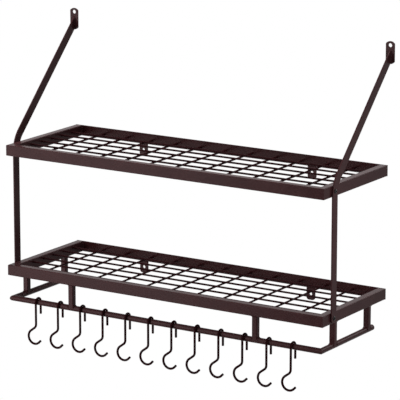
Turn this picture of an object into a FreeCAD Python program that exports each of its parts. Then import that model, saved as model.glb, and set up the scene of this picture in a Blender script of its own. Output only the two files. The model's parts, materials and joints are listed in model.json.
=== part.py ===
import FreeCAD
import Part
import Sketcher
import math
import os
import re

# Two-shelf wall-mounted pot rack: welded shelf frames on bent hanger bars, a pot rail and swinging hooks.
# X runs along the wall, Y points into the wall (the wall is the plane y = 0) and Z is up.
# The origin lies midway between the screw holes of the two wall plates.

V = FreeCAD.Vector
UP = V(0, 0, 1)

# Driving sizes in millimetres and degrees, with the counts of what repeats
SIZES = [
    ("frame_width", 762, "outside width of both shelves"),
    ("frame_depth", 256, "outside depth of both shelves, rear strip included"),
    ("shelf_spacing", 256.7, "from one shelf's top to the other's"),
    ("rail_height", 22.8, "rectangular tube of the shelf frame, upright"),
    ("rail_width", 16, "rectangular tube of the shelf frame, flat"),
    ("rail_wall", 1.2, "wall of that tube"),
    ("rail_corner", 1.6, "outer corner radius of that tube"),
    ("strip_thick", 3, "flat strip that closes the shelf frame at the wall, and its wall tabs"),
    ("strip_corner", 0.8, "rounding of that strip's long edges"),
    ("wire_dia", 4, "wire of the shelf grid"),
    ("wire_gap", 0.04, "between the two layers of wire"),
    ("upper_grid_drop", 11.2, "from the upper shelf's top to where its two layers of wire meet"),
    ("lower_grid_drop", 8.5, "from the lower shelf's top to where its two layers of wire meet"),
    ("cross_wire_count", 11, "wires that run from front to back"),
    ("cross_wire_margin", 58.25, "from a side rail to the nearest cross wire"),
    ("long_wire_count", 6, "wires that run from side to side"),
    ("long_wire_front", 16.3, "from the front rail to the first long wire"),
    ("long_wire_rear", 37.7, "from the rear strip to the last long wire"),
    ("tab_spacing", 413, "between the two wall tabs of a shelf"),
    ("tab_width", 20, "wall tab under the rear strip"),
    ("tab_drop", 26, "length of that tab"),
    ("tab_corner", 6, "rounding of that tab's lower corners"),
    ("tab_hole", 7, "screw hole of that tab"),
    ("tab_hole_drop", 13, "from the rear strip to that hole"),
    ("plate_width", 20, "wall plate at the top of a hanger bar"),
    ("plate_height", 46.2, "length of that plate"),
    ("plate_hole", 8.2, "screw hole of that plate"),
    ("plate_hole_inset", 8.2, "from the plate's top to that hole"),
    ("plate_below_bar", 1, "how far that plate reaches below the bar's end"),
    ("plate_thick", 2, "sheet of the wall plates"),
    ("end_rise", 5, "how far the wall plate's curved ends bulge"),
    ("edge_round", 0.5, "rounding of the edges of hanger bars and wall tabs"),
    ("bar_width", 19, "flat steel of the hanger bars"),
    ("bar_thick", 3, "flat steel of the hanger bars"),
    ("bar_setback", 38, "from the shelf's front to the middle of the bar"),
    ("bend_angle", 44.6, "lean of the bar's upper part towards the wall"),
    ("bend_radius", 55, "middle line of the bar's bend"),
    ("bend_below_bolt", 9, "from the start of the bend to the upper bolt"),
    ("bolt_dia", 5, "button-head bolt through the bar"),
    ("bolt_hole", 5.5, "clearance hole of that bolt in the bar"),
    ("bolt_length", 12, "that bolt under its head"),
    ("head_dia", 9.5, "button head"),
    ("head_height", 2.6, "button head"),
    ("socket_dia", 3.4, "socket in the button head"),
    ("socket_depth", 1.5, "socket in the button head"),
    ("insert_dia", 7, "threaded insert in the rail's outer wall"),
    ("insert_length", 10, "that insert inside the rail"),
    ("insert_flange", 0.8, "flange of that insert, between rail and bar"),
    ("insert_flange_dia", 10, "flange of that insert"),
    ("thread_gap", 0.05, "radial gap round the bolt and round the insert"),
    ("rod_dia", 12, "round tube of the pot rail"),
    ("rod_wall", 1.2, "wall of that tube"),
    ("rod_drop", 50.1, "from the shelf's underside to the pot rail's axis"),
    ("leg_end_gap", 38.5, "from the wall to the pot rail's end plugs"),
    ("plug_crown", 3, "domed head of the end plug"),
    ("plug_stem", 10, "stem of the end plug inside the tube"),
    ("plug_gap", 0.05, "radial gap round that stem"),
    ("post_size", 12, "square tube that carries the pot rail"),
    ("post_wall", 1.2, "wall of that tube"),
    ("post_corner", 1.8, "outer corner radius of that tube"),
    ("post_gap", 0.05, "between a post's saddle and the pot rail"),
    ("front_post_inset", 158, "from the shelf's end to the nearer front post"),
    ("side_post_front", 56, "from the shelf's front to the nearer side post"),
    ("side_post_rear", 62, "from the wall to the nearer side post"),
    ("hook_count", 12, "hooks on the pot rail"),
    ("hook_margin", 63.35, "from the pot rail's corner to the nearest hook"),
    ("hook_wire", 4.8, "wire of the hooks"),
    ("hook_gap", 0.3, "radial gap between hook and pot rail"),
    ("hook_stub", 27, "from the pot rail's axis to the wire's end behind it"),
    ("hook_drop", 51.4, "from the pot rail's axis to the shank's bend"),
    ("hook_bend", 11, "radius of the shank's bend"),
    ("hook_lean", 53.5, "lean of the wire between shank and bowl"),
    ("bowl_radius", 15.5, "middle line of the hook's bowl"),
    ("bowl_offset", 3.9, "from the shank's line to the bowl's centre"),
    ("bowl_lip", 44, "how far the bowl turns up past its lowest point"),
    ("hook_tip", 6.4, "straight end of the hook"),
    ("hook_end_round", 0.8, "rounding of the wire's ends"),
]
ALIASES = {alias for alias, value, note in SIZES}

# Places that follow from the driving sizes, as expressions
RAIL_AXIS_X = "(frame_width / 2 - rail_width / 2)"
FRONT_AXIS_Y = "(rail_width / 2 - frame_depth)"
INNER_WIDTH = "(frame_width - 2 * rail_width)"
INNER_DEPTH = "(frame_depth - rail_width - strip_thick)"
INNER_MIDDLE_Y = "((rail_width - frame_depth - strip_thick) / 2)"
SIDE_LENGTH = "(frame_depth - strip_thick)"
SIDE_MIDDLE_Y = "((-frame_depth - strip_thick) / 2)"
LONG_PITCH = f"(({INNER_DEPTH} - long_wire_front - long_wire_rear) / (long_wire_count - 1))"
BAR_Y = "(bar_setback - frame_depth)"
BAR_INNER_X = "(frame_width / 2 + insert_flange)"
BAR_REACH = "(frame_depth - bar_setback - plate_thick)"
BEND_START = "(shelf_spacing - bend_below_bolt)"
PLATE_FOOT_Z = "(plate_hole_inset - plate_height)"
BAR_END_Z = f"({PLATE_FOOT_Z} + plate_below_bar + bar_width / sin(bend_angle) / 2)"
BAR_RISE = f"({BEND_START} + bend_radius * tan(bend_angle / 2) + {BAR_REACH} / tan(bend_angle))"
LOWER_BOLT_Z = f"({BAR_END_Z} - {BAR_RISE})"
UPPER_BOLT_Z = f"({LOWER_BOLT_Z} + shelf_spacing)"
POST_TOP_Z = f"({LOWER_BOLT_Z} - rail_height / 2)"
ROD_Z = f"({POST_TOP_Z} - rod_drop)"
ROD_LENGTH = f"(2 * {RAIL_AXIS_X} + rod_dia)"
LEG_FRONT_Y = f"({FRONT_AXIS_Y} - rod_dia / 2)"
LEG_REAR_Y = "(-leg_end_gap - plug_crown)"
LEG_LENGTH = f"({LEG_REAR_Y} - {LEG_FRONT_Y})"
HOOK_ARM = "(rod_dia / 2 + hook_gap + hook_wire / 2)"
FIRST_HOOK_X = f"(hook_margin - {RAIL_AXIS_X})"
HOOK_PITCH = f"(-2 * {FIRST_HOOK_X} / (hook_count - 1))"

SIDES = {"left": -1, "right": 1}
ROOM = V(0, -1, 0)
RIGHT = V(1, 0, 0)

doc = FreeCAD.newDocument("PotRack")
sheet = doc.addObject("Spreadsheet::Sheet", "Sizes")
for row, (alias, value, note) in enumerate(SIZES, start=1):
    sheet.set(f"A{row}", alias)
    sheet.set(f"B{row}", str(value))
    sheet.setAlias(f"B{row}", alias)
    sheet.set(f"C{row}", note)
doc.recompute()

nodes = []


def on_sheet(expression):
    """The expression with each size's name turned into its cell on the sheet."""
    return re.sub(r"[a-z_]+", lambda m: f"Sizes.{m[0]}" if m[0] in ALIASES else m[0], expression)


def number(expression):
    return float(sheet.evalExpression(on_sheet(expression)))


def bind(item, prop, expression):
    item.setExpression(prop, on_sheet(expression))


def place(item, x="0", y="0", z="0"):
    for axis, expression in zip("xyz", (x, y, z)):
        bind(item, f"Placement.Base.{axis}", expression)


def node(item):
    """Count the object among the pieces that are written out."""
    nodes.append(item)
    return item


def group(label, items):
    """Separate solids that share one node."""
    compound = doc.addObject("Part::Compound", label)
    compound.Links = items
    return node(compound)


def new_body(label):
    return doc.addObject("PartDesign::Body", label)


def sketch_on(body, name, role, lift="0"):
    """A sketch on one of the body's origin planes, lifted along that plane's normal."""
    sketch = body.newObject("Sketcher::SketchObject", f"{body.Name}_{name}")
    plane = next(f for f in body.Origin.OriginFeatures if f.Role == role)
    sketch.AttachmentSupport = [(plane, "")]
    sketch.MapMode = "FlatFace"
    bind(sketch, "AttachmentOffset.Base.z", lift)
    return sketch


def datum(sketch, kind, references, expression):
    """A dimension of the sketch that follows an expression."""
    index = sketch.addConstraint(Sketcher.Constraint(kind, *references, number(expression)))
    name = f"{kind}_{index}"
    sketch.renameConstraint(index, name)
    bind(sketch, f"Constraints.{name}", expression)


def pin(sketch, geometry, point, x, y):
    """Hold a point of the sketch at x, y from its origin."""
    datum(sketch, "DistanceX", (-1, 1, geometry, point), x)
    datum(sketch, "DistanceY", (-1, 1, geometry, point), y)


def circle(sketch, diameter, x="0", y="0"):
    middle = V(number(x), number(y), 0)
    index = sketch.addGeometry(Part.Circle(middle, UP, number(diameter) / 2))
    datum(sketch, "Diameter", (index,), diameter)
    pin(sketch, index, 3, x, y)


def rounded_rectangle(sketch, width, height, radius):
    """A rectangle about the sketch's origin with four equal corner arcs."""
    x, y, r = number(width) / 2, number(height) / 2, number(radius)
    middles = [V(x - r, r - y, 0), V(x - r, y - r, 0), V(r - x, y - r, 0), V(r - x, r - y, 0)]
    arcs = []
    for quarter, middle in enumerate(middles):
        start = (quarter - 1) * math.pi / 2
        corner = Part.ArcOfCircle(Part.Circle(middle, UP, r), start, start + math.pi / 2)
        arcs.append(sketch.addGeometry(corner))
    sides = []
    for arc, following in zip(arcs, arcs[1:] + arcs[:1]):
        edge = Part.LineSegment(sketch.getPoint(arc, 2), sketch.getPoint(following, 1))
        side = sketch.addGeometry(edge)
        sides.append(side)
        sketch.addConstraint(Sketcher.Constraint("Tangent", arc, 2, side, 1))
        sketch.addConstraint(Sketcher.Constraint("Tangent", side, 2, following, 1))
    right, top, left, bottom = sides
    for side in (right, left):
        sketch.addConstraint(Sketcher.Constraint("Vertical", side))
    for side in (top, bottom):
        sketch.addConstraint(Sketcher.Constraint("Horizontal", side))
    for arc in arcs[1:]:
        sketch.addConstraint(Sketcher.Constraint("Equal", arcs[0], arc))
    sketch.addConstraint(Sketcher.Constraint("Symmetric", arcs[0], 3, arcs[2], 3, -1, 1))
    datum(sketch, "Radius", (arcs[0],), radius)
    datum(sketch, "DistanceX", (left, 1, right, 1), width)
    datum(sketch, "DistanceY", (bottom, 1, top, 1), height)


def rectangular_tube(sketch, width, height, wall, corner):
    """Both outlines of a hollow section, the inner corners sharper by the wall."""
    rounded_rectangle(sketch, width, height, corner)
    inner = [f"({size} - 2 * {wall})" for size in (width, height)]
    rounded_rectangle(sketch, *inner, f"max({corner} - {wall}; {wall} / 4)")


def round_tube(sketch, diameter, wall):
    circle(sketch, diameter)
    circle(sketch, f"({diameter} - 2 * {wall})")


def arc_between(start, end, radius, turn):
    """The shorter arc from start to end, turning left (1) or right (-1)."""
    chord = end - start
    rise = math.sqrt(max(radius ** 2 - (chord.Length / 2) ** 2, 0))
    aside = V(-chord.y, chord.x, 0).normalize()
    middle = (start + end) / 2 + aside * (rise * turn)
    first, last = (start, end) if turn > 0 else (end, start)
    angles = [math.atan2(p.y - middle.y, p.x - middle.x) for p in (first, last)]
    return Part.ArcOfCircle(Part.Circle(middle, UP, radius), *angles)


def outline(sketch, corners, closed=True):
    """Lines and arcs from corner to corner: (x, y), or (x, y, radius, turn) where an arc follows."""
    points = [V(number(c[0]), number(c[1]), 0) for c in corners]
    ends = []
    for corner, start, end in zip(corners, points, points[1:] + points[:closed]):
        if len(corner) == 2:
            ends.append((sketch.addGeometry(Part.LineSegment(start, end)), 1, 2))
            continue
        radius, turn = corner[2:]
        arc = sketch.addGeometry(arc_between(start, end, number(radius), turn))
        ends.append((arc, 1, 2) if turn > 0 else (arc, 2, 1))
    for piece, following in zip(ends, ends[1:] + ends[:closed]):
        joint = (piece[0], piece[2], following[0], following[1])
        sketch.addConstraint(Sketcher.Constraint("Coincident", *joint))
    for corner, (index, first, last) in zip(corners, ends):
        pin(sketch, index, first, corner[0], corner[1])
        if len(corner) > 2:
            datum(sketch, "Radius", (index,), corner[2])
    if not closed:
        pin(sketch, ends[-1][0], ends[-1][2], *corners[-1])


def extrude(kind, body, sketch, length):
    """A Pad or Pocket of the sketch, half of its length to either side."""
    feature = body.newObject(f"PartDesign::{kind}", f"{sketch.Name}_{kind.lower()}")
    feature.Profile = sketch
    feature.SideType = "Symmetric"
    bind(feature, "Length", length)
    return feature


def turned(body, sketch):
    """The sketch revolved about its own horizontal axis."""
    feature = body.newObject("PartDesign::Revolution", f"{sketch.Name}_turned")
    feature.Profile = sketch
    feature.ReferenceAxis = (sketch, ["H_Axis"])
    feature.Angle = 360


def edges_of(faces, shape):
    """The names in the shape of the outer edges of these faces, which leaves out the rims of holes."""
    rims = [edge.hashCode() for face in faces for edge in face.OuterWire.Edges]
    return [f"Edge{i}" for i, edge in enumerate(shape.Edges, start=1) if edge.hashCode() in rims]


def faces_towards(shape, *directions):
    flats = [face for face in shape.Faces if isinstance(face.Surface, Part.Plane)]
    return [face for face in flats if any(face.normalAt(0, 0).isEqual(d, 1e-6) for d in directions)]


def rounded(body, feature, pick, radius):
    """Round the outer edges of the faces that pick finds on the feature."""
    doc.recompute()
    ease = body.newObject("PartDesign::Fillet", f"{feature.Name}_rounded")
    ease.Base = (feature, edges_of(pick(feature.Shape), feature.Shape))
    bind(ease, "Radius", radius)


def repeated(body, feature, axis_role, length, count):
    """Copies of the feature in a row, as separate solids of one body."""
    body.AllowCompound = True
    pattern = body.newObject("PartDesign::LinearPattern", f"{feature.Name}_row")
    pattern.Originals = [feature]
    pattern.Direction = (next(f for f in body.Origin.OriginFeatures if f.Role == axis_role), [""])
    bind(pattern, "Length", length)
    bind(pattern, "Occurrences", count)
    body.Tip = pattern


def mitre(body, name, corner, inward, size, along):
    """Cut a tube's end at 45 degrees, from its outer corner inwards."""
    outside = [f"({c} - {s} * {size})" for c, s in zip(corner, inward)]
    inside = [f"({c} + {s} * 2 * {size})" for c, s in zip(corner, inward)]
    square = (outside[0], inside[1]) if along == "X" else (inside[0], outside[1])
    sketch = sketch_on(body, name, "XY_Plane")
    outline(sketch, [outside, inside, square])
    extrude("Pocket", body, sketch, f"2 * (rail_height + {size})")


# Shelf frames

def front_rail(shelf, middle_z):
    body = node(new_body(f"{shelf}_front_rail"))
    section = sketch_on(body, "section", "YZ_Plane")
    rectangular_tube(section, "rail_width", "rail_height", "rail_wall", "rail_corner")
    extrude("Pad", body, section, "frame_width")
    for side, sign in SIDES.items():
        corner = (f"{sign} * frame_width / 2", "-rail_width / 2")
        mitre(body, f"{side}_mitre", corner, (-sign, 1), "rail_width", "X")
    place(body, y=FRONT_AXIS_Y, z=middle_z)


def side_rail(shelf, side, middle_z):
    sign = SIDES[side]
    body = node(new_body(f"{shelf}_{side}_rail"))
    section = sketch_on(body, "section", "XZ_Plane")
    rectangular_tube(section, "rail_width", "rail_height", "rail_wall", "rail_corner")
    extrude("Pad", body, section, SIDE_LENGTH)
    corner = (f"{sign} * rail_width / 2", f"-{SIDE_LENGTH} / 2")
    mitre(body, "mitre", corner, (-sign, 1), "rail_width", "Y")
    seat = sketch_on(body, "insert_hole", "YZ_Plane", f"{sign} * rail_width / 2")
    circle(seat, "(insert_dia + 2 * thread_gap)", f"({BAR_Y} - {SIDE_MIDDLE_Y})")
    extrude("Pocket", body, seat, "4 * rail_wall")
    place(body, f"{sign} * {RAIL_AXIS_X}", SIDE_MIDDLE_Y, middle_z)


def rear_strip(shelf, middle_z):
    body = node(new_body(f"{shelf}_rear_strip"))
    section = sketch_on(body, "section", "YZ_Plane")
    rounded_rectangle(section, "strip_thick", "rail_height", "min(strip_corner; strip_thick / 3)")
    extrude("Pad", body, section, "frame_width")
    place(body, y="-strip_thick / 2", z=middle_z)


def grid_z(shelf):
    return f"(rail_height / 2 - {shelf}_grid_drop)"


def long_wires(shelf, middle_z):
    body = node(new_body(f"{shelf}_long_wires"))
    section = sketch_on(body, "section", "YZ_Plane")
    first_y = f"(long_wire_front - {INNER_DEPTH} / 2)"
    circle(section, "wire_dia", first_y, f"{grid_z(shelf)} + (wire_dia + wire_gap) / 2")
    wire = extrude("Pad", body, section, INNER_WIDTH)
    repeated(body, wire, "Y_Axis", f"{LONG_PITCH} * (long_wire_count - 1)", "long_wire_count")
    place(body, y=INNER_MIDDLE_Y, z=middle_z)


def cross_wires(shelf, middle_z):
    body = node(new_body(f"{shelf}_cross_wires"))
    section = sketch_on(body, "section", "XZ_Plane")
    first_x = f"(cross_wire_margin - {INNER_WIDTH} / 2)"
    circle(section, "wire_dia", first_x, f"{grid_z(shelf)} - (wire_dia + wire_gap) / 2")
    wire = extrude("Pad", body, section, INNER_DEPTH)
    repeated(body, wire, "X_Axis", f"{INNER_WIDTH} - 2 * cross_wire_margin", "cross_wire_count")
    place(body, y=INNER_MIDDLE_Y, z=middle_z)


def wall_tab(shelf, side, middle_z):
    body = node(new_body(f"{shelf}_{side}_wall_tab"))
    sheet_outline = sketch_on(body, "outline", "XZ_Plane")
    shoulder = "(tab_corner - tab_drop)"
    outline(sheet_outline, [
        ("-tab_width / 2", "0"),
        ("-tab_width / 2", shoulder, "tab_corner", 1),
        ("tab_corner - tab_width / 2", "-tab_drop"),
        ("tab_width / 2 - tab_corner", "-tab_drop", "tab_corner", 1),
        ("tab_width / 2", shoulder),
        ("tab_width / 2", "0"),
    ])
    circle(sheet_outline, "tab_hole", y="-tab_hole_drop")
    tab = extrude("Pad", body, sheet_outline, "strip_thick")
    rounded(body, tab, lambda shape: faces_towards(shape, ROOM), "min(edge_round; strip_thick / 3)")
    place(body, f"{SIDES[side]} * tab_spacing / 2", "-strip_thick / 2", f"{middle_z} - rail_height / 2")


def shelf_frame(shelf, middle_z):
    front_rail(shelf, middle_z)
    rear_strip(shelf, middle_z)
    for side in SIDES:
        side_rail(shelf, side, middle_z)
        wall_tab(shelf, side, middle_z)
    long_wires(shelf, middle_z)
    cross_wires(shelf, middle_z)


# Hanger bars, wall plates, bolts and inserts

def wall_plate(side):
    body = node(new_body(f"{side}_wall_plate"))
    sheet_outline = sketch_on(body, "outline", "XZ_Plane")
    end_arc = "((plate_width ^ 2 / 4 + end_rise ^ 2) / (2 * end_rise))"
    upper = "(plate_hole_inset - end_rise)"
    lower = f"({PLATE_FOOT_Z} + end_rise)"
    outline(sheet_outline, [
        ("-plate_width / 2", upper),
        ("-plate_width / 2", lower, end_arc, 1),
        ("plate_width / 2", lower),
        ("plate_width / 2", upper, end_arc, 1),
    ])
    circle(sheet_outline, "plate_hole")
    extrude("Pad", body, sheet_outline, "plate_thick")
    place(body, f"{SIDES[side]} * ({BAR_INNER_X} + bar_thick / 2)", "-plate_thick / 2")


def hanger_bar(side):
    """Flat bar from the lower bolt straight up, then in one bend over to the wall plate."""
    body = node(new_body(f"{side}_hanger_bar"))
    half = "bar_width / 2"
    rear_arc = f"(bend_radius - {half})"
    front_arc = f"(bend_radius + {half})"
    rear_y = f"(bend_radius - {rear_arc} * cos(bend_angle))"
    rear_z = f"({BEND_START} + {rear_arc} * sin(bend_angle))"
    front_y = f"(bend_radius - {front_arc} * cos(bend_angle))"
    front_z = f"({BEND_START} + {front_arc} * sin(bend_angle))"
    profile = sketch_on(body, "profile", "YZ_Plane")
    outline(profile, [
        ("0", f"-{half}", half, 1),
        (half, "0"),
        (half, BEND_START, rear_arc, -1),
        (rear_y, rear_z),
        (BAR_REACH, f"{rear_z} + ({BAR_REACH} - {rear_y}) / tan(bend_angle)"),
        (BAR_REACH, f"{front_z} + ({BAR_REACH} - {front_y}) / tan(bend_angle)"),
        (front_y, front_z, front_arc, 1),
        (f"-{half}", BEND_START),
        (f"-{half}", "0", half, 1),
    ])
    circle(profile, "bolt_hole")
    circle(profile, "bolt_hole", y="shelf_spacing")
    bar = extrude("Pad", body, profile, "bar_thick")
    rounded(body, bar, lambda shape: faces_towards(shape, RIGHT, -RIGHT), "min(edge_round; bar_thick / 4)")
    place(body, f"{SIDES[side]} * ({BAR_INNER_X} + bar_thick / 2)", BAR_Y, LOWER_BOLT_Z)


def shelf_bolt(label):
    """Button-head bolt along X, its head's seat at x = 0."""
    body = new_body(label)
    dome = "((head_dia ^ 2 / 4 + head_height ^ 2) / (2 * head_height))"
    socket_rim = f"(head_height - {dome} + sqrt({dome} ^ 2 - socket_dia ^ 2 / 4))"
    profile = sketch_on(body, "profile", "XY_Plane")
    outline(profile, [
        ("-bolt_length", "0"),
        ("head_height - socket_depth", "0"),
        ("head_height - socket_depth", "socket_dia / 2"),
        (socket_rim, "socket_dia / 2", dome, 1),
        ("0", "head_dia / 2"),
        ("0", "bolt_dia / 2"),
        ("-bolt_length", "bolt_dia / 2"),
    ])
    turned(body, profile)
    return body


def threaded_insert(label):
    """Flanged sleeve along X, its flange's seat at x = 0."""
    body = new_body(label)
    bore = "(bolt_dia / 2 + thread_gap)"
    profile = sketch_on(body, "profile", "XY_Plane")
    outline(profile, [
        ("-insert_length", bore),
        ("insert_flange", bore),
        ("insert_flange", "insert_flange_dia / 2"),
        ("0", "insert_flange_dia / 2"),
        ("0", "insert_dia / 2"),
        ("-insert_length", "insert_dia / 2"),
    ])
    turned(body, profile)
    return body


def bar_fasteners(label, maker, seat_x):
    """One fastener where each hanger bar crosses each shelf, pointing outwards."""
    items = []
    for level, z in (("upper", UPPER_BOLT_Z), ("lower", LOWER_BOLT_Z)):
        for side, sign in SIDES.items():
            item = maker(f"{level}_{side}_{label}")
            item.Placement.Rotation = FreeCAD.Rotation(UP, 0 if sign > 0 else 180)
            place(item, f"{sign} * {seat_x}", BAR_Y, z)
            items.append(item)
    group(f"{label}s", items)


# Pot rail and its posts

def pot_rail_front():
    body = node(new_body("pot_rail_front_tube"))
    section = sketch_on(body, "section", "YZ_Plane")
    round_tube(section, "rod_dia", "rod_wall")
    extrude("Pad", body, section, ROD_LENGTH)
    for side, sign in SIDES.items():
        corner = (f"{sign} * {ROD_LENGTH} / 2", "-rod_dia / 2")
        mitre(body, f"{side}_mitre", corner, (-sign, 1), "rod_dia", "X")
    place(body, y=FRONT_AXIS_Y, z=ROD_Z)


def pot_rail_leg(side):
    sign = SIDES[side]
    body = node(new_body(f"pot_rail_{side}_leg"))
    section = sketch_on(body, "section", "XZ_Plane")
    round_tube(section, "rod_dia", "rod_wall")
    extrude("Pad", body, section, LEG_LENGTH)
    mitre(body, "mitre", (f"{sign} * rod_dia / 2", f"-{LEG_LENGTH} / 2"), (-sign, 1), "rod_dia", "Y")
    place(body, f"{sign} * {RAIL_AXIS_X}", f"({LEG_FRONT_Y} + {LEG_REAR_Y}) / 2", ROD_Z)


def end_plug(side):
    """Domed plug in the open end of a leg."""
    body = node(new_body(f"pot_rail_{side}_end_plug"))
    crown = "((rod_dia ^ 2 / 4 + plug_crown ^ 2) / (2 * plug_crown))"
    stem = "(rod_dia / 2 - rod_wall - plug_gap)"
    profile = sketch_on(body, "profile", "XY_Plane")
    outline(profile, [
        ("-plug_stem", "0"),
        ("plug_crown", "0", crown, 1),
        ("0", "rod_dia / 2"),
        ("0", stem),
        ("-plug_stem", stem),
    ])
    turned(body, profile)
    body.Placement.Rotation = FreeCAD.Rotation(UP, 90)
    place(body, f"{SIDES[side]} * {RAIL_AXIS_X}", LEG_REAR_Y, ROD_Z)


def post(label, saddle_plane, x, y):
    """Square tube from the shelf's underside to the pot rail, with a saddle cut for the rail."""
    body = node(new_body(label))
    section = sketch_on(body, "section", "XY_Plane", "-rod_drop / 2")
    rectangular_tube(section, "post_size", "post_size", "post_wall", "post_corner")
    extrude("Pad", body, section, "rod_drop")
    saddle = sketch_on(body, "saddle", saddle_plane)
    circle(saddle, "(rod_dia + 2 * post_gap)", y="-rod_drop")
    extrude("Pocket", body, saddle, "2 * post_size")
    place(body, x, y, POST_TOP_Z)


def posts():
    for side, sign in SIDES.items():
        post(f"front_{side}_post", "YZ_Plane", f"{sign} * (frame_width / 2 - front_post_inset)", FRONT_AXIS_Y)
    for side, sign in SIDES.items():
        rail_x = f"{sign} * {RAIL_AXIS_X}"
        post(f"{side}_side_front_post", "XZ_Plane", rail_x, "side_post_front - frame_depth")
        post(f"{side}_side_rear_post", "XZ_Plane", rail_x, "-side_post_rear")


# Hooks

def loop_path(body):
    """From the front of the pot rail over its top and down behind it."""
    path = sketch_on(body, "loop", "YZ_Plane")
    outline(path, [
        (f"-{HOOK_ARM}", "0", HOOK_ARM, -1),
        ("0", HOOK_ARM, HOOK_ARM, -1),
        (HOOK_ARM, "0"),
        (HOOK_ARM, "-hook_stub"),
    ], closed=False)
    return path


def bowl_path(body):
    """From the front of the pot rail down the shank, aside and round the bowl to the tip."""
    path = sketch_on(body, "bowl", "XZ_Plane", HOOK_ARM)
    setback = "(hook_bend * tan(hook_lean / 2))"
    slant = "((bowl_radius * cos(hook_lean) + bowl_offset) / sin(hook_lean))"
    bowl_z = f"(-hook_drop - {slant} * cos(hook_lean) - bowl_radius * sin(hook_lean))"
    lip_x = "(bowl_radius * sin(bowl_lip) - bowl_offset)"
    lip_z = f"({bowl_z} - bowl_radius * cos(bowl_lip))"
    outline(path, [
        ("0", "0"),
        ("0", f"{setback} - hook_drop", "hook_bend", -1),
        (f"-{setback} * sin(hook_lean)", f"-hook_drop - {setback} * cos(hook_lean)"),
        (f"-{slant} * sin(hook_lean)", f"-hook_drop - {slant} * cos(hook_lean)", "bowl_radius", 1),
        ("-bowl_offset - bowl_radius", bowl_z, "bowl_radius", 1),
        ("-bowl_offset", f"{bowl_z} - bowl_radius", "bowl_radius", 1),
        (lip_x, lip_z),
        (f"{lip_x} + hook_tip * cos(bowl_lip)", f"{lip_z} + hook_tip * sin(bowl_lip)"),
    ], closed=False)
    return path


def wire_ends(shape):
    """The flat ends of a bent wire."""
    return [face for face in shape.Faces if isinstance(face.Surface, Part.Plane)]


def hook(index):
    body = node(new_body(f"hook_{index + 1:02d}"))
    wire = sketch_on(body, "wire", "XY_Plane")
    circle(wire, "hook_wire", y=f"-{HOOK_ARM}")
    for path in (loop_path(body), bowl_path(body)):
        bend = body.newObject("PartDesign::AdditivePipe", f"{path.Name}_pipe")
        bend.Profile = wire
        bend.Spine = path
    rounded(body, bend, wire_ends, "hook_end_round")
    place(body, f"{FIRST_HOOK_X} + {index} * {HOOK_PITCH}", FRONT_AXIS_Y, ROD_Z)


def check_and_write():
    """Write each node to its own file, but only if every object is sound."""
    doc.recompute()
    failed = [item.Name for item in doc.Objects if {"Invalid", "Error"} & set(item.State)]
    failed += [item.Label for item in nodes if item.Shape.isNull() or not item.Shape.isValid()]
    if failed:
        raise RuntimeError(f"not sound: {failed}")
    os.makedirs("parts", exist_ok=True)
    for item in nodes:
        item.Shape.exportStep(f"parts/{item.Label}.step")
        box = item.Shape.BoundBox
        low = f"{box.XMin:8.2f} {box.YMin:8.2f} {box.ZMin:8.2f}"
        high = f"{box.XMax:8.2f} {box.YMax:8.2f} {box.ZMax:8.2f}"
        print(f"{item.Label:28s} {len(item.Shape.Solids):3d} {item.Shape.Volume:10.1f}  {low}  {high}")


shelf_frame("upper", UPPER_BOLT_Z)
shelf_frame("lower", LOWER_BOLT_Z)
for side in SIDES:
    wall_plate(side)
    hanger_bar(side)
bar_fasteners("shelf_bolt", shelf_bolt, f"({BAR_INNER_X} + bar_thick)")
bar_fasteners("threaded_insert", threaded_insert, "(frame_width / 2)")
pot_rail_front()
for side in SIDES:
    pot_rail_leg(side)
    end_plug(side)
posts()
for index in range(int(number("hook_count"))):
    hook(index)
check_and_write()
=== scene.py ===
import json
import math

import bpy
from mathutils import Matrix, Vector


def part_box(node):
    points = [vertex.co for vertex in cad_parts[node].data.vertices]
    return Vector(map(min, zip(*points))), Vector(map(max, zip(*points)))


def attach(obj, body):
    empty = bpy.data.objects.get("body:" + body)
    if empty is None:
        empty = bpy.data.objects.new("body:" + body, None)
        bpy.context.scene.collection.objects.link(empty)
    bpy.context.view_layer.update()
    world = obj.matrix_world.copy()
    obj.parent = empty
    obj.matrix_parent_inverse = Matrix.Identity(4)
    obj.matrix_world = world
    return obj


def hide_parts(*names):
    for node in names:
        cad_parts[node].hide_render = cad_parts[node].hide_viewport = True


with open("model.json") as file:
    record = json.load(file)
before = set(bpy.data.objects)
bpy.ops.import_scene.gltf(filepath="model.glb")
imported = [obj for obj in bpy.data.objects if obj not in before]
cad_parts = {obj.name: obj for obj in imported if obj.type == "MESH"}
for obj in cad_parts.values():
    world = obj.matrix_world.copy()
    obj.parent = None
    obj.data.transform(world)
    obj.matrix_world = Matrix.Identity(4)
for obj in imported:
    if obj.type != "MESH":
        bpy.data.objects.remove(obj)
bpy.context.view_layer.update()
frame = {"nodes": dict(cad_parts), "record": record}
nodes = frame["nodes"]
print("frame loaded:", len(nodes), "nodes")


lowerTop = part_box("lower_front_rail")[1].z      # metres, as every place here


# camera at the photo's viewing angle

cameraSettings = {
    "place": (2.9783, -4.7925),      # x and y, the wall at y = 0
    "aboveLowerShelf": 1.4551,
    "azimuth": 32.425,               # degrees, turned to the right of straight on
    "elevation": 13.152,             # degrees, looking down
    "roll": 0.027,
    "lens": 249.33,                  # mm
    "sensor": 36,                    # mm
    "farthest": 100,                 # nothing past this is drawn
}


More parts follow.
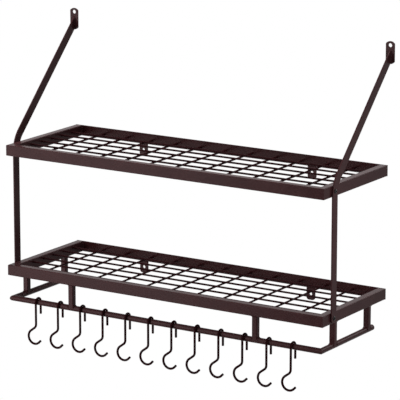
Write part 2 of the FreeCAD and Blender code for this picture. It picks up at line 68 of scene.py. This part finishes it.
def addCamera(s):
    turn, tilt, roll = (math.radians(s[k]) for k in ("azimuth", "elevation", "roll"))
    ahead = Vector((-math.sin(turn) * math.cos(tilt), math.cos(turn) * math.cos(tilt), -math.sin(tilt)))
    right = Vector((math.cos(turn), math.sin(turn), 0))
    up = right.cross(ahead)
    rolledRight = right * math.cos(roll) + up * math.sin(roll)
    rolledUp = up * math.cos(roll) - right * math.sin(roll)
    bpy.ops.object.camera_add()
    camera = bpy.context.object
    camera.name = "photoCamera"
    camera.data.sensor_width = s["sensor"]
    camera.data.lens = s["lens"]
    camera.data.clip_end = s["farthest"]
    axes = Matrix((rolledRight, rolledUp, -ahead)).transposed()
    camera.matrix_world = Matrix.Translation((*s["place"], lowerTop + s["aboveLowerShelf"])) @ axes.to_4x4()
    bpy.context.scene.camera = camera


addCamera(cameraSettings)
print("camera in place")


# floor, world and lamps

stageSettings = {
    "floorZ": -6.5,                 # far enough down for views from below
    "floorSize": 60,
    "floorColor": (0.86, 0.86, 0.86),
    "worldStrength": 0.1,
    "lampAim": (0, -0.13, -0.33),   # the middle of the rack
}


def seenOrMirrored(tree):
    # 1 for rays from the camera and for mirror or glass rays
    path = tree.nodes.new("ShaderNodeLightPath")
    glossy = tree.nodes.new("ShaderNodeMath")
    glossy.operation = "MAXIMUM"
    tree.links.new(path.outputs["Is Camera Ray"], glossy.inputs[0])
    tree.links.new(path.outputs["Is Glossy Ray"], glossy.inputs[1])
    both = tree.nodes.new("ShaderNodeMath")
    both.operation = "MAXIMUM"
    tree.links.new(glossy.outputs[0], both.inputs[0])
    tree.links.new(path.outputs["Is Transmission Ray"], both.inputs[1])
    return both.outputs[0]


def whiteWorld(s):
    world = bpy.data.worlds.new("studioWorld")
    world.use_nodes = True
    tree = world.node_tree
    tree.nodes.clear()
    out = tree.nodes.new("ShaderNodeOutputWorld")
    soft = tree.nodes.new("ShaderNodeBackground")
    soft.inputs["Color"].default_value = (1, 1, 1, 1)
    soft.inputs["Strength"].default_value = s["worldStrength"]
    white = tree.nodes.new("ShaderNodeBackground")
    white.inputs["Color"].default_value = (1, 1, 1, 1)
    white.inputs["Strength"].default_value = 1
    mix = tree.nodes.new("ShaderNodeMixShader")
    tree.links.new(seenOrMirrored(tree), mix.inputs[0])
    tree.links.new(soft.outputs[0], mix.inputs[1])
    tree.links.new(white.outputs[0], mix.inputs[2])
    tree.links.new(mix.outputs[0], out.inputs[0])
    bpy.context.scene.world = world


def paleFloor(s):
    bpy.ops.object.select_all(action="DESELECT")
    bpy.ops.mesh.primitive_plane_add(size=s["floorSize"], location=(0, 0, s["floorZ"]))
    floor = bpy.context.object
    floor.name = "studioFloor"
    material = bpy.data.materials.new("studioFloorPaint")
    material.use_nodes = True
    tree = material.node_tree
    tree.nodes.clear()
    out = tree.nodes.new("ShaderNodeOutputMaterial")
    matt = tree.nodes.new("ShaderNodeBsdfDiffuse")
    matt.inputs["Color"].default_value = (*s["floorColor"], 1)
    white = tree.nodes.new("ShaderNodeEmission")
    white.inputs["Strength"].default_value = 1
    mix = tree.nodes.new("ShaderNodeMixShader")
    tree.links.new(seenOrMirrored(tree), mix.inputs[0])
    tree.links.new(matt.outputs[0], mix.inputs[1])
    tree.links.new(white.outputs[0], mix.inputs[2])
    tree.links.new(mix.outputs[0], out.inputs[0])
    floor.data.materials.append(material)


lampSettings = [
    {"name": "keySoftbox", "place": (-1.2, -1.5, -0.6), "size": 1.2, "power": 22},
    {"name": "upperFill", "place": (-0.75, -1.5, 0.1), "size": 0.9, "power": 9.5},
    {"name": "rightFill", "place": (0.9, -0.4, -0.3), "size": 0.5, "power": 2.5},
    {"name": "topSoftbox", "place": (-0.3, 0.05, 1.9), "size": 0.5, "power": 54},
    {"name": "rearFill", "place": (0.9, 1.6, 0.2), "size": 0.8, "power": 8},
]


def addLamps(lamps, aim):
    for s in lamps:
        bpy.ops.object.light_add(type="AREA", location=s["place"])
        lamp = bpy.context.object
        lamp.name = s["name"]
        lamp.data.shape = "SQUARE"
        lamp.data.size = s["size"]
        lamp.data.energy = s["power"]
        lamp.rotation_euler = (Vector(aim) - Vector(s["place"])).to_track_quat("-Z", "Y").to_euler()
        lamp.visible_camera = False


whiteWorld(stageSettings)
paleFloor(stageSettings)
addLamps(lampSettings, stageSettings["lampAim"])
bpy.context.scene.view_settings.view_transform = "Standard"
print("studio in place")


# finishes

def newFinish(name):
    material = bpy.data.materials.new(name)
    material.use_nodes = True
    tree = material.node_tree
    shader = tree.nodes["Principled BSDF"]
    return material, tree, shader


def noiseAt(tree, coords, scale, detail, roughness=0.55):
    noise = tree.nodes.new("ShaderNodeTexNoise")
    noise.inputs["Scale"].default_value = scale
    noise.inputs["Detail"].default_value = detail
    noise.inputs["Roughness"].default_value = roughness
    tree.links.new(coords, noise.inputs["Vector"])
    return noise.outputs["Fac"]


def spreadOf(tree, value, levels, first, second):
    # from the first colour to the second between two levels of the noise
    ramp = tree.nodes.new("ShaderNodeValToRGB")
    for element, level, color in zip(ramp.color_ramp.elements, levels, (first, second)):
        element.position = level
        element.color = (*color, 1)
    tree.links.new(value, ramp.inputs["Fac"])
    return ramp.outputs["Color"]


def grey(level):
    return (level, level, level)


def mixColors(tree, factor, first, second):
    mix = tree.nodes.new("ShaderNodeMix")
    mix.data_type = "RGBA"
    tree.links.new(factor, mix.inputs["Factor"])
    tree.links.new(first, mix.inputs["A"])
    mix.inputs["B"].default_value = (*second, 1)
    return mix.outputs["Result"]


def bumpOf(tree, height, distance, strength):
    bump = tree.nodes.new("ShaderNodeBump")
    bump.inputs["Strength"].default_value = strength
    bump.inputs["Distance"].default_value = distance
    tree.links.new(height, bump.inputs["Height"])
    return bump.outputs["Normal"]


bronzeSettings = {
    "dark": (0.036, 0.0121, 0.0134),
    "light": (0.0456, 0.0166, 0.018),
    "fleck": (0.085, 0.045, 0.035),
    "roughness": (0.22, 0.3),
    "specular": 0.043,
    "mottleScale": 22,
    "mottleRange": (0.35, 0.68),     # noise levels that give the dark and the light colour
    "glossRange": (0.3, 0.7),
    "fleckScale": 1530,
    "fleckRange": (0.66, 0.74),
    "fleckCover": 0.55,
    "grainScale": 900,
    "grainDepth": 0.00004,
    "grainStrength": 0.6,
}

# painted shade: the rear strips get a paint darker than the rails', standing in for the shade that falls on
# them inside the shelf
shadedStripSettings = {
    **bronzeSettings,
    "dark": (0.027, 0.007, 0.0079),
    "light": (0.0352, 0.0097, 0.0109),
    "specular": 0.03,
}
wireSettings = {
    **bronzeSettings,
    "roughness": (0.32, 0.42),
    "dark": (0.017, 0.0042, 0.0051),
    "light": (0.0228, 0.006, 0.0071),
    "specular": 0.01,
    "fleck": (0.04, 0.02, 0.017),
    "mottleScale": 60,
}
hookSettings = {
    **bronzeSettings,
    "roughness": (0.32, 0.42),
    "dark": (0.0165, 0.0038, 0.0047),
    "light": (0.022, 0.0056, 0.0067),
    "specular": 0.008,
    "fleck": (0.03, 0.015, 0.013),
    "mottleScale": 90,
}


def bronzePaint(name, s):
    material, tree, shader = newFinish(name)
    coords = tree.nodes.new("ShaderNodeTexCoord").outputs["Object"]
    mottle = noiseAt(tree, coords, s["mottleScale"], detail=3)
    grain = noiseAt(tree, coords, s["grainScale"], detail=2)
    base = spreadOf(tree, mottle, s["mottleRange"], s["dark"], s["light"])
    fleckNoise = noiseAt(tree, coords, s["fleckScale"], detail=1)
    flecks = spreadOf(tree, fleckNoise, s["fleckRange"], grey(0), grey(s["fleckCover"]))
    color = mixColors(tree, flecks, base, s["fleck"])
    tree.links.new(color, shader.inputs["Base Color"])
    low, high = s["roughness"]
    gloss = spreadOf(tree, mottle, s["glossRange"], grey(low), grey(high))
    tree.links.new(gloss, shader.inputs["Roughness"])
    tree.links.new(bumpOf(tree, grain, s["grainDepth"], s["grainStrength"]), shader.inputs["Normal"])
    shader.inputs["Specular IOR Level"].default_value = s["specular"]
    return material


oxideSettings = {
    "dark": (0.0035, 0.003, 0.003),
    "light": (0.008, 0.007, 0.0068),
    "roughness": (0.34, 0.46),
    "specular": 0.12,
    "cloudScale": 400,
    "cloudRange": (0.3, 0.7),
}


def blackOxide(name, s):
    material, tree, shader = newFinish(name)
    coords = tree.nodes.new("ShaderNodeTexCoord").outputs["Object"]
    cloud = noiseAt(tree, coords, s["cloudScale"], detail=3)
    color = spreadOf(tree, cloud, s["cloudRange"], s["dark"], s["light"])
    tree.links.new(color, shader.inputs["Base Color"])
    low, high = s["roughness"]
    gloss = spreadOf(tree, cloud, s["cloudRange"], grey(low), grey(high))
    tree.links.new(gloss, shader.inputs["Roughness"])
    shader.inputs["Specular IOR Level"].default_value = s["specular"]
    return material


zincSettings = {
    "dark": (0.36, 0.36, 0.34),
    "light": (0.55, 0.55, 0.52),
    "roughness": 0.38,
    "cloudScale": 500,
    "cloudRange": (0.3, 0.7),
}


def zincPlate(name, s):
    material, tree, shader = newFinish(name)
    coords = tree.nodes.new("ShaderNodeTexCoord").outputs["Object"]
    cloud = noiseAt(tree, coords, s["cloudScale"], detail=3)
    color = spreadOf(tree, cloud, s["cloudRange"], s["dark"], s["light"])
    tree.links.new(color, shader.inputs["Base Color"])
    shader.inputs["Roughness"].default_value = s["roughness"]
    shader.inputs["Metallic"].default_value = 1
    return material


plugSettings = {
    "dark": (0.015, 0.0066, 0.0072),
    "light": (0.023, 0.0108, 0.0114),
    "roughness": 0.5,
    "specular": 0.08,
    "grainScale": 1600,
    "grainRange": (0.35, 0.65),
    "grainDepth": 0.00003,
    "grainStrength": 0.5,
}


def plugPlastic(name, s):
    material, tree, shader = newFinish(name)
    coords = tree.nodes.new("ShaderNodeTexCoord").outputs["Object"]
    grain = noiseAt(tree, coords, s["grainScale"], detail=2)
    color = spreadOf(tree, grain, s["grainRange"], s["dark"], s["light"])
    tree.links.new(color, shader.inputs["Base Color"])
    shader.inputs["Roughness"].default_value = s["roughness"]
    shader.inputs["Specular IOR Level"].default_value = s["specular"]
    tree.links.new(bumpOf(tree, grain, s["grainDepth"], s["grainStrength"]), shader.inputs["Normal"])
    return material


railPaint = bronzePaint("oilRubbedBronzePaint", bronzeSettings)
shadedStripPaint = bronzePaint("bronzePaintWithPaintedShadeOnStrips", shadedStripSettings)
wirePaint = bronzePaint("bronzePaintOnWire", wireSettings)
hookPaint = bronzePaint("bronzePaintOnHooks", hookSettings)
boltBlack = blackOxide("blackOxideSteel", oxideSettings)
insertZinc = zincPlate("zincPlatedSteel", zincSettings)
plugBrown = plugPlastic("brownPlugPlastic", plugSettings)

finishOfSlot = {
    "bronze_paint": railPaint,
    "bronze_wire": wirePaint,
    "hook_wire": hookPaint,
    "black_steel": boltBlack,
    "zinc_steel": insertZinc,
    "plug_plastic": plugBrown,
}
for part in frame["record"]["subparts"]:
    mesh = nodes[part["node"]].data
    mesh.materials.clear()
    mesh.materials.append(finishOfSlot[part["material_slot"]])
# the rear strips take the darker strip paint, which is painted shade
for shelf in ("upper", "lower"):
    nodes[shelf + "_rear_strip"].data.materials[0] = shadedStripPaint
print("finishes on all nodes")


# steps shared by the pieces that are modelled here

meshSettings = {
    "mergeWithin": 0.000001,
    "smoothUpTo": 40,                # degrees between faces
}


def pickOnly(piece):
    bpy.ops.object.select_all(action="DESELECT")
    piece.select_set(True)
    bpy.context.view_layer.objects.active = piece


def ringsAlong(sides, profile):
    # a ring of edges about the Z axis, pulled out from each (radius, height) to the next
    radius, height = profile[0]
    bpy.ops.object.select_all(action="DESELECT")
    bpy.ops.mesh.primitive_circle_add(vertices=sides, radius=radius, location=(0, 0, height))
    bpy.ops.object.transform_apply(location=True, rotation=True, scale=True)
    bpy.ops.object.mode_set(mode="EDIT")
    bpy.ops.mesh.select_all(action="SELECT")
    for nextRadius, nextHeight in profile[1:]:
        widen = nextRadius / radius
        bpy.ops.mesh.extrude_region_move(TRANSFORM_OT_translate={"value": (0, 0, nextHeight - height)})
        bpy.ops.transform.resize(value=(widen, widen, 1), center_override=(0, 0, 0))
        radius, height = nextRadius, nextHeight
    return bpy.context.object


def bridgeEnds():
    # the first ring meets the last one, so the section is closed
    bpy.ops.mesh.select_all(action="DESELECT")
    bpy.ops.mesh.select_non_manifold()
    bpy.ops.mesh.bridge_edge_loops()


def capEnds():
    bpy.ops.mesh.select_all(action="SELECT")
    bpy.ops.mesh.fill_holes(sides=0)


def leaveEdit():
    bpy.ops.mesh.select_all(action="SELECT")
    bpy.ops.mesh.remove_doubles(threshold=meshSettings["mergeWithin"])
    bpy.ops.mesh.normals_make_consistent(inside=False)
    bpy.ops.object.mode_set(mode="OBJECT")


def placeCopies(pattern, places):
    # a copy at each place and turn, joined into one piece
    copies = []
    for place, turn in places:
        pickOnly(pattern)
        bpy.ops.object.duplicate()
        copy = bpy.context.object
        copy.location = place
        copy.rotation_euler = turn
        bpy.ops.object.transform_apply(location=True, rotation=True, scale=True)
        copies.append(copy)
    pickOnly(pattern)
    bpy.ops.object.delete()
    return joined(copies)


def joined(pieces):
    pickOnly(pieces[0])
    for piece in pieces:
        piece.select_set(True)
    bpy.ops.object.join()
    return bpy.context.object


def repeatAlong(piece, count, step):
    pickOnly(piece)
    bpy.ops.object.modifier_add(type="ARRAY")
    row = piece.modifiers[-1]
    row.count = count
    row.use_relative_offset = False
    row.use_constant_offset = True
    row.constant_offset_displace = step
    bpy.ops.object.modifier_apply(modifier=row.name)


def roughen(piece, s):
    # uneven as a hand weld is
    pickOnly(piece)
    bumps = bpy.data.textures.new("weldBumps", "CLOUDS")
    bumps.noise_scale = s["bumpSize"]
    bpy.ops.object.modifier_add(type="DISPLACE")
    push = piece.modifiers[-1]
    push.texture = bumps
    push.strength = s["bumpDepth"]
    bpy.ops.object.modifier_apply(modifier=push.name)


def finishPiece(piece, name, finish):
    pickOnly(piece)
    bpy.ops.object.shade_smooth_by_angle(angle=math.radians(meshSettings["smoothUpTo"]))
    piece.name = name
    piece.data.name = name
    piece.data.materials.clear()
    piece.data.materials.append(finish)
    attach(piece, "rack")
    print(name, "has", len(piece.data.polygons), "faces")


# bolts with a hex socket

boltSettings = {
    "sides": 48,
    "headHeight": 0.0026,        # of the full dome, before the socket takes its top
    "domeRings": 7,
    "rimHeight": 0.0005,         # upright rim under the dome
    "socketRadius": 0.00185,     # to the corners of the hex
    "socketDepth": 0.0015,
    "shankRadius": 0.0024,
    "shankLength": 0.0119,
    "endChamfer": 0.0006,
}


def boltProfile(s, headRadius):
    shank, end, bevel = s["shankRadius"], -s["shankLength"], s["endChamfer"]
    profile = [(shank - bevel, end), (shank, end + bevel), (shank, 0), (headRadius, 0)]
    crown = s["headHeight"] - s["rimHeight"]
    domeRadius = (headRadius ** 2 + crown ** 2) / (2 * crown)
    spread = math.asin(headRadius / domeRadius)
    for i in range(s["domeRings"]):
        lean = spread * (1 - i / s["domeRings"])
        drop = domeRadius * (1 - math.cos(lean))
        profile.append((domeRadius * math.sin(lean), s["headHeight"] - drop))
    return profile


def modelBolt(s, headRadius):
    bolt = ringsAlong(s["sides"], boltProfile(s, headRadius))
    capEnds()
    leaveEdit()
    top = s["headHeight"]
    bpy.ops.object.select_all(action="DESELECT")
    bpy.ops.mesh.primitive_cylinder_add(vertices=6, radius=s["socketRadius"], depth=2 * s["socketDepth"],
                                        location=(0, 0, top))
    key = bpy.context.object
    pickOnly(bolt)
    bpy.ops.object.modifier_add(type="BOOLEAN")
    socket = bolt.modifiers[-1]
    socket.operation = "DIFFERENCE"
    socket.object = key
    bpy.ops.object.modifier_apply(modifier=socket.name)
    pickOnly(key)
    bpy.ops.object.delete()
    pickOnly(bolt)
    bpy.ops.object.mode_set(mode="EDIT")
    leaveEdit()
    return bolt


def addBolts(s):
    low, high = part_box("shelf_bolts")
    headRadius = (high.y - low.y) / 2
    y = (high.y + low.y) / 2
    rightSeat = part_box("right_hanger_bar")[1].x
    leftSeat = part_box("left_hanger_bar")[0].x
    places = []
    for z in (high.z - headRadius, low.z + headRadius):
        places.append(((rightSeat, y, z), (0, math.pi / 2, 0)))
        places.append(((leftSeat, y, z), (0, -math.pi / 2, 0)))
    bolts = placeCopies(modelBolt(s, headRadius), places)
    finishPiece(bolts, "buttonHeadBolts", boltBlack)
    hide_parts("shelf_bolts")


addBolts(boltSettings)


# spot welds where the shelf wires cross, and collars where they end in the frame

gridSettings = {
    "longCount": 6,
    "crossCount": 11,
    "nuggetReach": 0.0016,
    "nuggetLobe": 1.3,           # the metal squeezes out between the wires
    "lobeStart": 0.3,            # share of the reach where a lobe begins
    "nuggetHeight": 0.0009,
    "nuggetSegments": 8,
    "nuggetRings": 4,
    "collarSides": 12,
    "collarLeg": 0.0013,
    "collarWaist": (0.35, 0.4),  # how far out and along its hollow slope dips, as shares of the leg
    "collarSunk": 0.0002,
}


def modelNugget(s, place):
    bpy.ops.object.select_all(action="DESELECT")
    bpy.ops.mesh.primitive_uv_sphere_add(segments=s["nuggetSegments"], ring_count=s["nuggetRings"], radius=1)
    nugget = bpy.context.object
    bpy.ops.object.mode_set(mode="EDIT")
    bpy.ops.mesh.select_all(action="SELECT")
    flat = (s["nuggetReach"], s["nuggetReach"], s["nuggetHeight"])
    bpy.ops.transform.resize(value=flat, center_override=(0, 0, 0))
    bpy.ops.mesh.select_all(action="DESELECT")
    bpy.ops.object.mode_set(mode="OBJECT")
    for vertex in nugget.data.vertices:
        across = min(abs(vertex.co.x), abs(vertex.co.y))
        vertex.select = across > s["lobeStart"] * s["nuggetReach"]
    bpy.ops.object.mode_set(mode="EDIT")
    bpy.ops.transform.resize(value=(s["nuggetLobe"], s["nuggetLobe"], 1), center_override=(0, 0, 0))
    leaveEdit()
    nugget.location = place
    bpy.ops.object.transform_apply(location=True, rotation=True, scale=True)
    return nugget


def modelCollar(s, wireRadius, place, turn):
    leg, sunk = s["collarLeg"], s["collarSunk"]
    waistOut, waistAlong = s["collarWaist"]
    collar = ringsAlong(s["collarSides"], [
        (wireRadius + leg, -sunk),
        (wireRadius + waistOut * leg, waistAlong * leg),
        (wireRadius, leg),
        (wireRadius - sunk, leg),
        (wireRadius - sunk, -sunk),
    ])
    bridgeEnds()
    leaveEdit()
    collar.location = place
    collar.rotation_euler = turn
    bpy.ops.object.transform_apply(location=True, rotation=True, scale=True)
    return collar


def addGridWelds(s, shelf):
    longLow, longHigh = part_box(shelf + "_long_wires")
    crossLow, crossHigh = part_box(shelf + "_cross_wires")
    radius = (longHigh.z - longLow.z) / 2
    firstX, firstY = crossLow.x + radius, longLow.y + radius
    stepX = (crossHigh.x - crossLow.x - 2 * radius) / (s["crossCount"] - 1)
    stepY = (longHigh.y - longLow.y - 2 * radius) / (s["longCount"] - 1)
    longZ, crossZ = longLow.z + radius, crossLow.z + radius
    alongX, alongY = (stepX, 0, 0), (0, stepY, 0)

    nuggets = modelNugget(s, (firstX, firstY, (longLow.z + crossHigh.z) / 2))
    repeatAlong(nuggets, s["crossCount"], alongX)
    repeatAlong(nuggets, s["longCount"], alongY)
    welds = [nuggets]
    quarter = math.pi / 2
    for x, turn in ((longLow.x, (0, quarter, 0)), (longHigh.x, (0, -quarter, 0))):
        welds.append(modelCollar(s, radius, (x, firstY, longZ), turn))
        repeatAlong(welds[-1], s["longCount"], alongY)
    for y, turn in ((crossLow.y, (-quarter, 0, 0)), (crossHigh.y, (quarter, 0, 0))):
        welds.append(modelCollar(s, radius, (firstX, y, crossZ), turn))
        repeatAlong(welds[-1], s["crossCount"], alongX)
    finishPiece(joined(welds), shelf + "GridWelds", wirePaint)


addGridWelds(gridSettings, "upper")
addGridWelds(gridSettings, "lower")


# weld round the top of each post, under the shelf frame

postWeldSettings = {
    "corner": 0.0018,
    "cornerSegments": 4,
    "sideCuts": 9,
    "leg": 0.0014,
    "crown": [(0.3, -0.9), (0.65, -0.62), (0.9, -0.25)],      # out and up, as shares of the leg
    "sunk": 0.0003,
    "bumpSize": 0.0016,
    "bumpDepth": 0.0005,
}
postNames = ["front_left_post", "front_right_post", "left_side_front_post", "left_side_rear_post",
             "right_side_front_post", "right_side_rear_post"]


def modelPostWeld(s, postSize):
    bpy.ops.object.select_all(action="DESELECT")
    bpy.ops.mesh.primitive_plane_add(size=postSize)
    weld = bpy.context.object
    bpy.ops.object.mode_set(mode="EDIT")
    bpy.ops.mesh.select_all(action="SELECT")
    bpy.ops.mesh.bevel(offset=s["corner"], segments=s["cornerSegments"], affect="VERTICES")
    bpy.ops.mesh.select_all(action="SELECT")
    bpy.ops.mesh.delete(type="ONLY_FACE")
    bpy.ops.object.mode_set(mode="OBJECT")
    for edge in weld.data.edges:
        first, second = (weld.data.vertices[i].co for i in edge.vertices)
        edge.select = (first - second).length > s["corner"]
    bpy.ops.object.mode_set(mode="EDIT")
    bpy.ops.mesh.select_mode(type="EDGE")
    bpy.ops.mesh.subdivide(number_cuts=s["sideCuts"])
    bpy.ops.mesh.select_mode(type="VERT")
    bpy.ops.mesh.select_all(action="SELECT")
    leg, sunk, half = s["leg"], s["sunk"], postSize / 2
    crown = [(out * leg, up * leg) for out, up in s["crown"]]
    section = [(-sunk, -leg), *crown, (leg, sunk), (-sunk, sunk)]
    reach, height = half, 0
    for out, level in section:
        if height != 0:
            bpy.ops.mesh.extrude_region_move()
        widen = (half + out) / reach
        bpy.ops.transform.translate(value=(0, 0, level - height))
        bpy.ops.transform.resize(value=(widen, widen, 1), center_override=(0, 0, 0))
        reach, height = half + out, level
    bridgeEnds()
    leaveEdit()
    return weld


def addPostWelds(s):
    places = []
    for name in postNames:
        low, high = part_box(name)
        places.append((((low.x + high.x) / 2, (low.y + high.y) / 2, high.z), (0, 0, 0)))
    low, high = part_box(postNames[0])
    welds = placeCopies(modelPostWeld(s, high.x - low.x), places)
    roughen(welds, s)
    finishPiece(welds, "postTopWelds", railPaint)


addPostWelds(postWeldSettings)


# welds over the pot rail, on both sides of each post's saddle

saddleSettings = {
    "sides": 10,
    "radius": 0.0011,
    "sunk": 0.0004,
    "reachAngle": 80,            # degrees each way from the top of the pot rail
    "steps": 40,
    "bumpSize": 0.0015,
    "bumpDepth": 0.0004,
}


def modelSaddleWeld(s, tubeRadius):
    # half a ring round the X axis
    reach = math.radians(s["reachAngle"])
    bend = tubeRadius + s["radius"] - s["sunk"]
    bpy.ops.object.select_all(action="DESELECT")
    bpy.ops.mesh.primitive_circle_add(vertices=s["sides"], radius=s["radius"],
                                      location=(0, -bend * math.sin(reach), bend * math.cos(reach)),
                                      rotation=(reach - math.pi / 2, 0, 0))
    bpy.ops.object.transform_apply(location=True, rotation=True, scale=True)
    bpy.ops.object.mode_set(mode="EDIT")
    bpy.ops.mesh.select_all(action="SELECT")
    bpy.ops.mesh.spin(steps=s["steps"], angle=2 * reach, center=(0, 0, 0), axis=(1, 0, 0))
    capEnds()
    leaveEdit()
    return bpy.context.object


def addSaddleWelds(s):
    tubeLow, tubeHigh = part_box("pot_rail_front_tube")
    tubeRadius = (tubeHigh.z - tubeLow.z) / 2
    axisZ = tubeLow.z + tubeRadius
    places = []
    for name in postNames:
        low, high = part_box(name)
        middle = (low + high) / 2
        stand = (high.x - low.x) / 2 + s["radius"] - s["sunk"]
        for side in (-stand, stand):
            if name.startswith("front"):
                places.append(((middle.x + side, middle.y, axisZ), (0, 0, 0)))
            else:
                places.append(((middle.x, middle.y + side, axisZ), (0, 0, math.pi / 2)))
    welds = placeCopies(modelSaddleWeld(s, tubeRadius), places)
    roughen(welds, s)
    finishPiece(welds, "saddleWelds", railPaint)


addSaddleWelds(saddleSettings)


# straight weld beads of the hanger bars, wall tabs and rear strips

beadSettings = {
    "sides": 10,
    "radius": 0.0014,
    "ripple": 0.0016,
    "waist": 0.9,                # radius between two ripples, as a share
    "tip": 0.35,                 # radius at the very end, as a share
    "sunk": 0.0005,
    "barShort": 0.0012,          # how far a bead stops from the ends of its joint
    "tabShort": 0.0025,
    "tabProud": 0.0004,          # the tabs' beads are ground down
    "stripShort": 0.003,
    "bumpSize": 0.0018,
    "bumpDepth": 0.0004,
}


def modelBead(s, length):
    steps = 2 * round(length / s["ripple"])
    profile = []
    for i in range(steps + 1):
        fromEnd = min(i, steps - i) * length / steps
        taper = min(1, s["tip"] + (1 - s["tip"]) * fromEnd / s["radius"])
        swell = 1 if i % 2 else s["waist"]
        profile.append((s["radius"] * taper * swell, (i / steps - 0.5) * length))
    bead = ringsAlong(s["sides"], profile)
    capEnds()
    leaveEdit()
    return bead


def addBarWelds(s):
    # both sides of the hanger bar's end on its wall plate
    places = []
    for side in ("left", "right"):
        barLow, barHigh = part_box(side + "_hanger_bar")
        plateLow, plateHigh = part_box(side + "_wall_plate")
        length = barHigh.z - plateLow.z - 2 * s["barShort"]
        z = (barHigh.z + plateLow.z) / 2
        for x in (barLow.x - s["sunk"], barHigh.x + s["sunk"]):
            places.append(((x, plateLow.y - s["sunk"], z), (0, 0, 0)))
    welds = placeCopies(modelBead(s, length), places)
    roughen(welds, s)
    finishPiece(welds, "hangerBarWelds", railPaint)


def addTabWelds(s):
    # front of each wall tab, where it meets the rear strip
    places = []
    inset = s["radius"] - s["tabProud"]
    for shelf in ("upper", "lower"):
        for side in ("left", "right"):
            low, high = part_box(f"{shelf}_{side}_wall_tab")
            length = high.x - low.x - 2 * s["tabShort"]
            places.append((((low.x + high.x) / 2, low.y + inset, high.z), (0, math.pi / 2, 0)))
    welds = placeCopies(modelBead(s, length), places)
    roughen(welds, s)
    # the tab welds take the darker strip paint too, so they carry its painted shade
    finishPiece(welds, "wallTabWelds", shadedStripPaint)


def addStripWelds(s):
    # inside corners between the side rails and the rear strip
    places = []
    for shelf in ("upper", "lower"):
        low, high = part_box(shelf + "_rear_strip")
        length = high.z - low.z - 2 * s["stripShort"]
        z = (low.z + high.z) / 2
        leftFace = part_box(shelf + "_left_rail")[1].x
        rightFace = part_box(shelf + "_right_rail")[0].x
        for x in (leftFace + s["sunk"], rightFace - s["sunk"]):
            places.append(((x, low.y - s["sunk"], z), (0, 0, 0)))
    welds = placeCopies(modelBead(s, length), places)
    roughen(welds, s)
    finishPiece(welds, "rearStripWelds", railPaint)


addBarWelds(beadSettings)
addTabWelds(beadSettings)
addStripWelds(beadSettings)
print("welds and bolts modelled")
